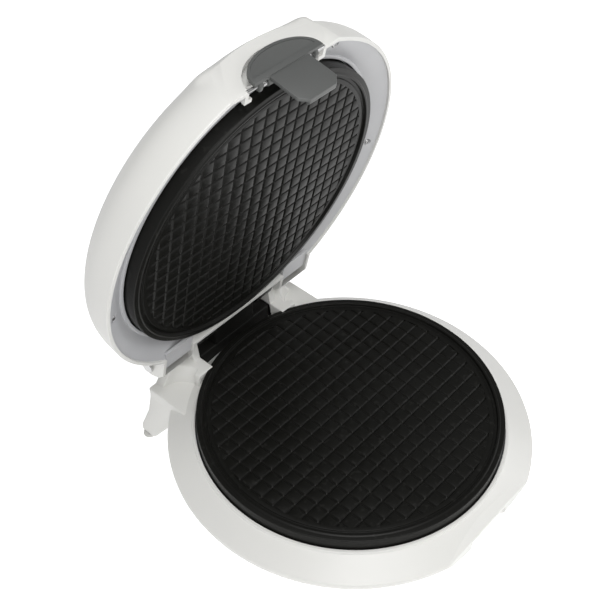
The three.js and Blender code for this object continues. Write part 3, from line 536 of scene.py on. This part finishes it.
def rear_leg():
    """A leg that splays outwards from the arm down to its pad."""
    top, foot, splay_from = 30.0, -0.6, 24
    side = [
        (ARM_REAR, top), (ARM_REAR, 16), (ARM_END + 2.9, foot + 3), (ARM_END + 0.9, foot),
        (ARM_END - 11.5, foot), (ARM_END - 14.5, foot + 4), (ARM_END - 22, 14),
        (ARM_END - 26, top)]
    leg = round_edges(prism(side, ARM_OUTER - 5, ARM_OUTER), 1.4, 3, 20)
    for vert in leg.verts:
        vert.co.x += LEG_SPLAY * max(0.0, splay_from - vert.co.z)
    return leg


def upright():
    """The cheek beside the hinge block, rounded about the hinge pin."""
    top = arc(HINGE, UPRIGHT_RADIUS, range(170, -1, -10))
    side = [(106.5, 31.4), (110.5, 60), *top, (ARM_END, 31.4)]
    return round_edges(prism(side, ARM_INNER, ARM_INNER + 5.6), 0.6, 2, 40)


def base_pieces():
    """One moulding: the bowl with an arm, a tower, a leg and a cheek on either side."""
    bowl = carved(base_bowl(), catch_slot())
    solids = [bowl]
    for make in (base_arm, hinge_tower, rear_leg, upright):
        solids += mirrored(make)
    piece("base_moulding", gather(solids), "base", WHITE, ["base_shell"], 34)


# ---------------------------------------------------------------- hinge blocks
BLOCK_FRONT = 109.8
BLOCK_HALF = 35.8
BLOCK_CLEARANCE = 0.4               # between the knuckle and the upper block when it is closed
KNUCKLE_HALF = 19.6
LUG_START = 20.4
UPPER_WALL_FRONT = 108.2
UPPER_WALL = 1.6


def hinge_block_below():
    """The black block between the arms, with the knuckle round the hinge pin."""
    block = box((-BLOCK_HALF, BLOCK_FRONT, 26), (BLOCK_HALF, ARM_END, CLOSING - 1.5))
    round_edges(block, 1.2, 3, 30)
    front, foot = BLOCK_FRONT + BLOCK_CLEARANCE, CLOSING - 6
    top = arc(HINGE, KNUCKLE_RADIUS, range(180, -1, -9))
    side = [(front, foot), (front, HINGE_Z - 5), *top, (ARM_END, foot)]
    knuckle = round_edges(prism(side, -KNUCKLE_HALF, KNUCKLE_HALF), 0.6, 2, 40)
    return gather([block, knuckle])


def hinge_lug():
    """The lug on the right of the knuckle, which turns with the lid."""
    front = UPPER_WALL_FRONT + 1
    side = [
        (front, CLOSING + 1.2), (HINGE_Y - 4, CLOSING + 2.2),
        *arc(HINGE, UPRIGHT_RADIUS, range(-60, 91, 10)), (front, HINGE_Z + 8.9)]
    return round_edges(prism(side, LUG_START, BLOCK_HALF), 0.6, 2, 40)


def hinge_block_pieces():
    """The lower block with its knuckle, and the upper one: a wall with a lug at either end."""
    below = hinge_block_below()
    piece("hinge_block_below", below, "base", BLACK, ["base_hinge_block"], 34)
    wall = box(
        (-BLOCK_HALF, UPPER_WALL_FRONT, CLOSING + 1.2),
        (BLOCK_HALF, UPPER_WALL_FRONT + UPPER_WALL, HINGE_Z + 10))
    round_edges(wall, 0.5, 2, 30)
    above = gather([wall, *mirrored(hinge_lug)])
    piece("hinge_block_above", above, "lid", BLACK, ["lid_hinge_block"], 34)


# ---------------------------------------------------------------- lid, drawn closed
LID_ARM_INNER = 43.0
LID_ARM_OUTER = 73.5
DOME_EDGE_POWER = 3.6               # these two powers set the dome's cross-section
DOME_TOP_POWER = 2.2
SCOOP_HALF = 30.0
SCOOP_HEIGHT = 21.0
SCOOP_FLOOR = -112.0
PANEL_HALF = 44.0                   # the raised front panel
PANEL_TOP = CLOSING + 31
PANEL_START = -70                   # the panel grows out of the dome from here forwards
PANEL_FADE = 14
RING_EDGE = 123.1
RING_THICKNESS = 2
LID_SCREW_ORBIT = 117.5
LID_SCREW_ANGLES = (-97, -23.5, 23.5, 97)


def dome_radius(share, radius):
    """The dome's radius at a share of its height."""
    return radius * (1 - share ** DOME_EDGE_POWER) ** (1 / DOME_TOP_POWER)


def dome_height(distance):
    """The height of the dome's outside at a distance from the middle."""
    share = (1 - (distance / LID_RADIUS) ** DOME_TOP_POWER) ** (1 / DOME_EDGE_POWER)
    return CLOSING + share * DOME_HEIGHT


def soft_least(a, b, width):
    """The smaller of two values, with a rounded change from one to the other."""
    blend = max(width - abs(a - b), 0.0) / width
    return min(a, b) - blend * blend * width / 4


def soft_most(a, b, width):
    return -soft_least(-a, -b, width)


def panel_reach(way, start):
    """How far a ray from start runs before it leaves the raised front panel.

    Each of its planes has an outward normal, a point and the width of its rounded edge.
    """
    planes = (
        (Vector((0, -1, 0)), Vector((0, -FRONT_FLAT, 0)), 2.0),
        (Vector((1, 0, 0)), Vector((PANEL_HALF, 0, 0)), 9.0),
        (Vector((-1, 0, 0)), Vector((-PANEL_HALF, 0, 0)), 16.0),
        (Vector((0, -2.4, 3.9)).normalized(), Vector((0, -116.4, PANEL_TOP + 0.6)), 10.0),
        (Vector((0, -10.6, 35)).normalized(), Vector((0, -113, PANEL_TOP + 2.4)), 14.0),
    )
    reach = None
    for normal, point, softness in planes:
        facing = way.dot(normal)
        if facing <= 1e-6:
            continue
        distance = (point - start).dot(normal) / facing
        reach = distance if reach is None else soft_least(reach, distance, softness)
    return reach if reach is not None else 0.0


def lid_dome(inset=0.0):
    """The lid's outside as a solid, or its hollow when inset by the wall."""
    steps = 72
    radius, floor = LID_RADIUS - inset, LID_FLOOR - inset
    profile = [(0, floor)]
    for i in range(steps + 1):
        share = math.sin(i / steps * math.pi / 2) ** 0.9
        rise = CLOSING + share * (DOME_HEIGHT - inset)
        profile.append((dome_radius(share, radius), max(rise, floor)))
    profile[1] = (radius, floor)
    profile[2] = (radius, max(profile[2][1], floor + 0.5))
    dome = spun(profile, 384)
    raise_panel(dome, floor, inset)
    cut_flat(dome, (0, -FRONT_FLAT + inset, 0), (0, -1, 0))
    if inset == 0:
        round_edges(dome, 0.45, 2, 50, lambda p: p.z < LID_FLOOR + 0.2)
    return dome


def raise_panel(dome, floor, inset):
    """Pushes the front of the dome out to the raised panel, away from a point inside it."""
    start = Vector((0, -92, LID_FLOOR))
    for vert in dome.verts:
        fade = min(1.0, max(0.0, (PANEL_START - vert.co.y) / PANEL_FADE))
        if fade > 0 and vert.co.z > floor + 0.01:
            way = vert.co - start
            span = way.length
            way.normalize()
            reach = soft_most(span, panel_reach(way, start) - inset, 3.0)
            vert.co = start + way * (span + (reach - span) * fade)


def half_oval(half_width, height, front, rear):
    """An arch with straight feet, drawn from front to rear."""
    arch, foot = half_ellipse(half_width, height, CLOSING, 6), CLOSING - 9.0
    return prism([*arch, (-half_width, foot), (half_width, foot)], front, rear, "Y")


def thumb_scoop(grow=0.0):
    """The pocket behind the thumb tab, open towards the rim."""
    return half_oval(SCOOP_HALF + grow, SCOOP_HEIGHT + grow, -150, SCOOP_FLOOR + grow)


def hinge_notch(grow=0.0):
    """The room that the lid leaves for the hinge blocks and the cheeks."""
    half = LID_ARM_INNER + grow
    return box((-half, 107.9 - grow, 41), (half, 170, HINGE_Z + 12 + grow))


def lid_arm(inset=0.0):
    """An arm from the dome back to the hinge pin; hollow where it is inset by the wall."""
    floor = LID_FLOOR - inset
    side = [
        (84, floor), (HINGE_Y - 0.5 - inset, floor), (HINGE_Y + 5 - inset, floor + 3.5 + inset),
        *arc(HINGE, 10 - inset, range(-30, 91, 10)), (104, HINGE_Z + 13 - inset),
        (84, HINGE_Z + 16 - inset)]
    arm = prism(side, LID_ARM_INNER + inset, LID_ARM_OUTER - inset)
    return round_edges(arm, 1.0, 3, 35, lambda p: p.z > LID_FLOOR + 1) if inset == 0 else arm


def ring_height(radius):
    """The height of the ring's sloping underside at a radius."""
    share = (radius - LIP_OUTER) / (122.9 - LIP_OUTER)
    return CLOSING + PLATE_SHOW + 1 - share * (PLATE_SHOW + 1 - 2.2)


def lid_ring():
    """The ring between the lid's rim and its plate, with holes for its screws and the hinge."""
    ring = spun([
        (LIP_INNER, 58.6), (LIP_OUTER, 58.6), (LIP_OUTER + 0.2, 59.6), (RING_EDGE, 52.2),
        (RING_EDGE, 52.2 + RING_THICKNESS), (LIP_OUTER, 59.6 + RING_THICKNESS), (LIP_OUTER, 67),
        (LIP_INNER, 67)])
    round_edges(ring, 0.35, 2, 40, lambda p: p.z < 59 and p.xy.length < 110)
    cut_flat(ring, (0, -115.4, 0), (0, -1, 0))
    holes = []
    for degrees in LID_SCREW_ANGLES:
        at = orbit(LID_SCREW_ORBIT, degrees)
        holes.append(rod(2.5, 40, ring_height(LID_SCREW_ORBIT) + 1.1, "Z", at, 24))
        holes.append(rod(1.3, 40, 70, "Z", at, 16))
    holes.append(box((-45.6, 104.6, 40), (45.6, 140, 80)))
    scoop_room = 2.2
    holes.append(half_oval(
        SCOOP_HALF + scoop_room, SCOOP_HEIGHT + scoop_room, -130, SCOOP_FLOOR + WALL + 0.4))
    return carved(ring, *holes)


def arm_floor():
    """The flat plate that closes a lid arm; it runs out of the ring without a step."""
    return box((46, 96, 52.2), (70.6, 113.5, 52.2 + RING_THICKNESS))


def lid_pieces():
    """The lid's shell, with a wall round the scoop and the hinge notch, and its ring."""
    outside = carved(lid_dome(), *mirrored(lid_arm), operation="UNION")
    hollow = carved(lid_dome(WALL), *mirrored(lambda: lid_arm(WALL)), operation="UNION")
    window = box((-27, -113, 30), (27, -100, CLOSING + 8))
    scoop_wall = carved(thumb_scoop(WALL), window)
    hollow = carved(hollow, hinge_notch(WALL), scoop_wall)
    shell = carved(outside, hollow, hinge_notch(), thumb_scoop())
    piece("lid_moulding", shell, "lid", WHITE, ["lid_shell"], 30)
    ring = carved(lid_ring(), *mirrored(arm_floor), operation="UNION")
    # The ring takes the darker, bluer copy of the white plastic, which is painted shade.
    piece("lid_inner_ring", ring, "lid", RING_PAINTED_SHADE, ["lid_ring"], 30)


# ---------------------------------------------------------------- latch
PIVOT = (-117.5, CLOSING + 1.6)
PIVOT_Y, PIVOT_Z = PIVOT
TAB_BACK = -120.0
TAB_FACE = -122.6
TAB_HALF = 27.2
TAB_HEIGHT = 16.1
DISH_MARGIN = 3.0
TONGUE_HALF = 15.5
TONGUE_TIP = CLOSING - 25.6
TONGUE_TIP_HALF = 10.5
TONGUE_FRONT = -121.4
TONGUE_BACK = -118.9
BAR_HALF = 16.5


def thumb_tab():
    """The half-oval tab with a shallow dish in its face."""
    foot = PIVOT_Z - 1.8
    arch = half_ellipse(TAB_HALF, TAB_HEIGHT, PIVOT_Z, 5)
    tab = prism([*arch, (-TAB_HALF, foot), (TAB_HALF, foot)], TAB_FACE, TAB_BACK, "Y")
    hollow = half_ellipse(TAB_HALF - DISH_MARGIN, 12.2, PIVOT_Z + 2, 5)
    dish = prism(hollow, TAB_FACE - 1, TAB_FACE + 0.8, "Y")
    return round_edges(carved(tab, dish), 0.35, 2, 35)


def latch_tongue():
    """The tongue that reaches down over the base's rim."""
    top, tip = PIVOT_Z + 2, TONGUE_TIP
    plan = [
        (-TONGUE_HALF, top), (-TONGUE_HALF, tip + 5), (-TONGUE_TIP_HALF, tip),
        (TONGUE_TIP_HALF, tip), (TONGUE_HALF, tip + 5), (TONGUE_HALF, top)]
    return round_edges(prism(plan, TONGUE_FRONT, TONGUE_BACK, "Y"), 0.5, 2, 30)


def latch_hook():
    """The hook on the back of the tongue's tip."""
    tip, back = TONGUE_TIP, TONGUE_BACK
    side = [
        (back - 1, tip), (back + 1, tip), (back + 3.2, tip + 1.8), (back + 3.2, tip + 2.9),
        (back - 1, tip + 2.9)]
    return round_edges(prism(side, -TONGUE_TIP_HALF, TONGUE_TIP_HALF), 0.35, 2, 30)


def latch_ear():
    """The ear on the right that turns on the latch pin."""
    front = TAB_BACK - 0.5
    side = [
        (front, PIVOT_Z + 8), (front, PIVOT_Z - 1.6), (PIVOT_Y - 1, PIVOT_Z - 3),
        (PIVOT_Y + 2.5, PIVOT_Z - 2.6), (PIVOT_Y + 3, PIVOT_Z + 1.5),
        (PIVOT_Y - 1, PIVOT_Z + 3.4)]
    return round_edges(prism(side, 21.0, 23.4), 0.4, 2, 30)


def latch_lever():
    """Tab, tongue and hook in one moulding, with the bar and the ears that the pin runs through."""
    bar = round_edges(rod(3.0, -BAR_HALF, BAR_HALF, "X", PIVOT, 32), 0.3, 2, 60)
    web = box((-BAR_HALF, TAB_BACK - 0.6, PIVOT_Z - 0.4), (BAR_HALF, PIVOT_Y, PIVOT_Z + 2.9))
    rib = rod(1.5, -BAR_HALF - 1, BAR_HALF + 1, "X", (TAB_FACE + 1.6, PIVOT_Z - 0.6), 28)
    round_edges(rib, 0.5, 2, 60)
    ears = mirrored(latch_ear)
    return gather([thumb_tab(), latch_tongue(), latch_hook(), bar, web, rib, *ears])


def latch_spring():
    """A torsion spring round the latch pin, as a bar drawn along its coil."""
    steps, rounds = 14, 3
    coil, start, pitch, wire = 1.9, -20.1, 0.95, 0.4
    curve = bpy.data.curves.new("spring_path", "CURVE")
    curve.dimensions = "3D"
    curve.bevel_depth = wire
    curve.bevel_resolution = 3
    curve.use_fill_caps = True
    path = curve.splines.new("POLY")
    count = steps * rounds + 1
    path.points.add(count)
    for i in range(count):
        turn = 2 * math.pi * i / steps
        across = (PIVOT_Y + coil * math.sin(turn), PIVOT_Z + coil * math.cos(turn))
        path.points[i].co = (start + pitch * i / steps, *across, 1)
    end = (start + pitch * rounds + 0.1, PIVOT_Y + coil + 1.2, PIVOT_Z + coil + 1.6)
    path.points[count].co = (*end, 1)
    held = bpy.data.objects.new("spring_path", curve)
    scene.collection.objects.link(held)
    bpy.context.view_layer.update()
    mesh = bpy.data.meshes.new_from_object(
        held.evaluated_get(bpy.context.evaluated_depsgraph_get()))
    bm = bmesh.new()
    bm.from_mesh(mesh)
    bmesh.ops.remove_doubles(bm, verts=bm.verts, dist=1e-3)
    bpy.data.objects.remove(held)
    bpy.data.curves.remove(curve)
    bpy.data.meshes.remove(mesh)
    return bm


def latch_pieces():
    """The lever on its own body, and its pin and spring, which stay in the lid."""
    piece("latch_hook_lever", latch_lever(), "latch", GREY, ["latch_lever"], 34)
    pin = round_edges(rod(1.1, -31.2, 31.2, "X", PIVOT, 20), 0.25, 2, 60)
    piece("latch_axle", pin, "lid", STEEL, ["latch_pin"], 34)
    piece("latch_return_spring", latch_spring(), "lid", STEEL, ["latch_spring"], 60)


# ---------------------------------------------------------------- small parts
COVER_SCREW_ORBIT = 94
COVER_SCREW_ANGLES = (35, 145, 215, 325)
FRONT_FOOT = (62, -62)
FRONT_FOOT_RADIUS = 7.0
REAR_FOOT = (81.83, 119.5)
REAR_FOOT_RADIUS = 4.6
FOOT_BOTTOM = -3
INLET = (0, 15)                     # the cord inlet's axis
INLET_BORE = 4.0
PIN_CAP_INNER = 74.3
PIN_CAP_OUTER = 76.1
LAMP_X = 9
LAMP_Y = -62
LENS_RADIUS = 3.5


def screw(radius, height, at, face, down=True):
    """A pan head with a crossed recess, seen from below or from above."""
    head = rod(radius, 0, height, "Z", (0, 0), 28, radius * 0.72)
    round_edges(head, height * 0.25, 2, 40)
    long, narrow, bottom, top = radius * 0.62, radius * 0.11, height * 0.35, height + 1
    slots = [
        box((-long, -narrow, bottom), (long, narrow, top)),
        box((-narrow, -long, bottom), (narrow, long, top))]
    head = carved(head, *slots)
    if down:
        bmesh.ops.rotate(head, verts=head.verts, matrix=Matrix.Rotation(math.pi, 3, "X"))
    bmesh.ops.translate(head, verts=head.verts, vec=(at[0], at[1], face))
    return head


def screw_heads():
    """The ring's four screws and the bottom cover's four."""
    for i, degrees in enumerate(LID_SCREW_ANGLES):
        face = ring_height(LID_SCREW_ORBIT) + 0.75
        head = screw(2.0, 0.85, orbit(LID_SCREW_ORBIT, degrees), face)
        piece(f"lid_screw_head_{i + 1}", head, "lid", STEEL, [f"lid_screw_{i + 1}"])
    for i, degrees in enumerate(COVER_SCREW_ANGLES):
        head = screw(3.4, 0.85, orbit(COVER_SCREW_ORBIT, degrees), 1.2)
        piece(f"cover_screw_head_{i + 1}", head, "base", STEEL, [f"cover_screw_{i + 1}"])


def base_cover():
    """The flat bottom, with vents and with recesses for its screws and the front feet."""
    cover = rod(101.1, 0, WALL, "Z", (0, 0), 160)
    round_edges(cover, 0.5, 2, 40)
    vent_pitch, vent_half = 9, 1.5
    tools = [
        box((i * vent_pitch - vent_half, 26, -1), (i * vent_pitch + vent_half, 56, 9))
        for i in (-2, -1, 1, 2)]
    for degrees in COVER_SCREW_ANGLES:
        tools.append(rod(4.0, -1, 1.6, "Z", orbit(COVER_SCREW_ORBIT, degrees), 28))
    for x in (-FRONT_FOOT[0], FRONT_FOOT[0]):
        tools.append(rod(FRONT_FOOT_RADIUS + 0.4, -1, 1.0, "Z", (x, FRONT_FOOT[1]), 48))
    piece("base_cover", carved(cover, *tools), "base", COVER_WHITE, ["bottom_cover"], 34)


def feet():
    """Two black pads under the front and a small pale one under each rear leg."""
    rows = (
        ("front", FRONT_FOOT, FRONT_FOOT_RADIUS, 0.6, RUBBER),
        ("rear", REAR_FOOT, REAR_FOOT_RADIUS, -0.7, PALE_RUBBER))
    for row, (x, y), radius, top, look in rows:
        for side, way in (("left", -1), ("right", 1)):
            pad = rod(radius, FOOT_BOTTOM, top, "Z", (way * x, y), 48)
            round_edges(pad, 0.7, 3, 60)
            piece(f"{row}_foot_{side}_pad", pad, "base", look, [f"{row}_foot_{side}"])


def cord_inlet():
    """The tube and the flange that a lead would enter by."""
    tube = rod(5.6, 107.8, 122.8, "Y", INLET, 48)
    flange = round_edges(rod(7.5, 121.8, 124.8, "Y", INLET, 48), 0.8, 3, 60)
    tube = carved(tube, rod(INLET_BORE, 100, 130, "Y", INLET, 40))
    flange = carved(flange, rod(INLET_BORE, 100, 130, "Y", INLET, 40))
    piece("cord_inlet", tube, "base", BLACK)
    piece("cord_inlet_flange", flange, "base", BLACK, ["cord_gland"])


def pin_caps():
    """The steel heads at the two ends of the hinge pin."""
    for name, start, end in (
            ("left", -PIN_CAP_OUTER, -PIN_CAP_INNER), ("right", PIN_CAP_INNER, PIN_CAP_OUTER)):
        cap = round_edges(rod(5.0, start, end, "X", HINGE, 40), 0.6, 3, 60)
        piece(f"pin_cap_{name}", cap, "base", STEEL, [f"hinge_pin_cap_{name}"])


def lamp_caps():
    """The red power lamp and the green ready lamp, sunk in the dome."""
    seat = dome_height(math.hypot(LAMP_X, LAMP_Y))
    for x, name, look in ((-LAMP_X, "power", RED_LENS), (LAMP_X, "ready", GREEN_LENS)):
        lens = rod(LENS_RADIUS, seat - 6, seat + 1.5, "Z", (x, LAMP_Y), 40)
        round_edges(lens, 1.0, 4, 60)
        piece(f"{name}_lamp_cap", lens, "lid", look, [f"{name}_lamp_lens"])


def small_pieces():
    """Screws, bottom cover, feet, cord inlet, pin caps and lamps."""
    screw_heads()
    base_cover()
    feet()
    cord_inlet()
    pin_caps()
    lamp_caps()


def dress_cad_nodes():
    """The inner parts keep their CAD shape and get their finish."""
    looks = {
        "heating_element": SHEATH, "heat_shield": SHEET, "thermostat": SHEET, "plate_screw": STEEL,
        "thermal_fuse": GLASS, "neon_lamp": GLASS, "terminal_block": CERAMIC, "hinge_pin": STEEL}
    for name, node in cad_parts.items():
        for words, look in looks.items():
            if words in name:
                node.data.materials.clear()
                node.data.materials.append(look)


# ---------------------------------------------------------------- studio, in metres
FLOOR_HEIGHT = -0.0031              # just under the feet
FLOOR_GLOW = (0.40, 0.85)           # how much the floor glows on the object and in view
WORLD_LIGHT = 0.20
BACKDROP = (0.90, 0.90, 0.90, 1)
LAMPS = (                           # name, place, aim, size, power and colour
    ("key_softbox", (-0.7, -1.0, 1.5), (0, 0, 0.1), (1.0, 1.0), 15, (1, 0.99, 0.97)),
    ("fill_softbox", (1.4, -1.0, 0.8), (0, 0, 0.1), (0.9, 0.9), 6, (1, 1, 1)),
    ("top_softbox", (-0.3, -0.2, 1.8), (0, 0, 0.1), (0.8, 0.8), 11, (1, 1, 1)),
)


def floor_paper():
    """Pale paper that glows, more in view than on the object, so that it stays even."""
    paper = bpy.data.materials.new("floor_paper")
    paper.use_nodes = True
    nodes, links = paper.node_tree.nodes, paper.node_tree.links
    shader = nodes["Principled BSDF"]
    shader.inputs["Base Color"].default_value = (0.96, 0.96, 0.96, 1)
    shader.inputs["Roughness"].default_value = 0.9
    shader.inputs["Specular IOR Level"].default_value = 0.1
    shader.inputs["Emission Color"].default_value = (1, 1, 1, 1)
    seen = nodes.new("ShaderNodeLightPath")
    glow = nodes.new("ShaderNodeMapRange")
    glow.inputs["To Min"].default_value = FLOOR_GLOW[0]
    glow.inputs["To Max"].default_value = FLOOR_GLOW[1]
    links.new(seen.outputs["Is Camera Ray"], glow.inputs["Value"])
    links.new(glow.outputs["Result"], shader.inputs["Emission Strength"])
    return paper


def studio_floor():
    """A wide floor under the feet."""
    floor = bmesh.new()
    bmesh.ops.create_grid(floor, x_segments=2, y_segments=2, size=6)
    bmesh.ops.translate(floor, verts=floor.verts, vec=(0, 0, FLOOR_HEIGHT))
    mesh = bpy.data.meshes.new("floor")
    floor.to_mesh(mesh)
    floor.free()
    ground = bpy.data.objects.new("floor", mesh)
    mesh.materials.append(floor_paper())
    scene.collection.objects.link(ground)


def studio_world():
    """A dim even light from all round, behind which the view shows a pale backdrop."""
    world = bpy.data.worlds.new("studio")
    scene.world = world
    world.use_nodes = True
    nodes, links = world.node_tree.nodes, world.node_tree.links
    dim = nodes["Background"]
    dim.inputs["Color"].default_value = (1, 1, 1, 1)
    dim.inputs["Strength"].default_value = WORLD_LIGHT
    wall = nodes.new("ShaderNodeBackground")
    wall.inputs["Color"].default_value = BACKDROP
    seen = nodes.new("ShaderNodeLightPath")
    choose = nodes.new("ShaderNodeMixShader")
    links.new(seen.outputs["Is Camera Ray"], choose.inputs["Fac"])
    links.new(dim.outputs["Background"], choose.inputs[1])
    links.new(wall.outputs["Background"], choose.inputs[2])
    links.new(choose.outputs["Shader"], nodes["World Output"].inputs["Surface"])


def studio_lamps():
    """Soft boxes from the front left, the right and above."""
    for name, place, aim, size, power, colour in LAMPS:
        lamp = bpy.data.lights.new(name, "AREA")
        lamp.shape = "RECTANGLE"
        lamp.size, lamp.size_y = size
        lamp.energy = power
        lamp.color = colour
        held = bpy.data.objects.new(name, lamp)
        held.location = place
        way = Vector(aim) - Vector(place)
        held.rotation_euler = way.to_track_quat("-Z", "Y").to_euler()
        scene.collection.objects.link(held)


CAMERA_AZIMUTH = -47.82             # degrees
CAMERA_ELEVATION = 44.78
CAMERA_ROLL = -0.11
CAMERA_DISTANCE = 0.7135
CAMERA_LEFT = 0.0341
CAMERA_RISE = 0.0729


def camera():
    """A long lens from the front left, looking down at the open plates."""
    azimuth, elevation = math.radians(CAMERA_AZIMUTH), math.radians(CAMERA_ELEVATION)
    roll = math.radians(CAMERA_ROLL)
    back = Vector((
        math.sin(azimuth) * math.cos(elevation), -math.cos(azimuth) * math.cos(elevation),
        math.sin(elevation)))
    level = Vector((0, 0, 1)).cross(back).normalized()
    rise = back.cross(level)
    right = level * math.cos(roll) + rise * math.sin(roll)
    up = rise * math.cos(roll) - level * math.sin(roll)
    data = bpy.data.cameras.new("camera")
    data.lens = 62.87
    data.sensor_width = 36
    data.clip_end = 50
    held = bpy.data.objects.new("camera", data)
    aim = Vector((0, 0, CLOSING / 1000))
    place = aim + back * CAMERA_DISTANCE - right * CAMERA_LEFT + up * CAMERA_RISE
    turn = Matrix((right, up, back)).transposed().to_4x4()
    held.matrix_world = Matrix.Translation(place) @ turn
    scene.collection.objects.link(held)
    scene.camera = held


camera()
studio_floor()
studio_world()
studio_lamps()
scene.view_settings.view_transform = "Standard"
plate_pieces()
base_pieces()
hinge_block_pieces()
lid_pieces()
latch_pieces()
small_pieces()
dress_cad_nodes()
